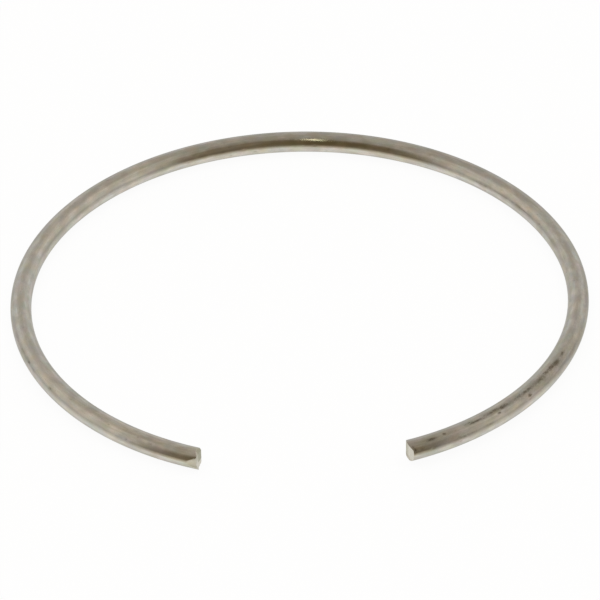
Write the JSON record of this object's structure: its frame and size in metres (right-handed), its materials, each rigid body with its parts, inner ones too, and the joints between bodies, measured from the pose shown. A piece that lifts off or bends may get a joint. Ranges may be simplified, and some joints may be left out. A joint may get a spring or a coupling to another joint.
{
  "type": "circlip retaining ring",
  "caption": "Open ring of round spring wire with a wide opening between its sheared ends; it springs into a groove inside a bore and holds a part in place.",
  "frame": {"origin": "middle of the ring, on its axis, at half the height of its wire", "axes": "+Z along the axis of the ring; the opening between the ends faces -Y, and the end that stands a little higher is on the +X side"},
  "size_m": [0.088, 0.0849, 0.0038],
  "materials": {
    "spring_wire": "dull satin, drawn wire with fine lengthwise marks"
  },
  "bodies": {
    "root": {"wire_ring": "spring_wire"}
  },
  "joints": []
}
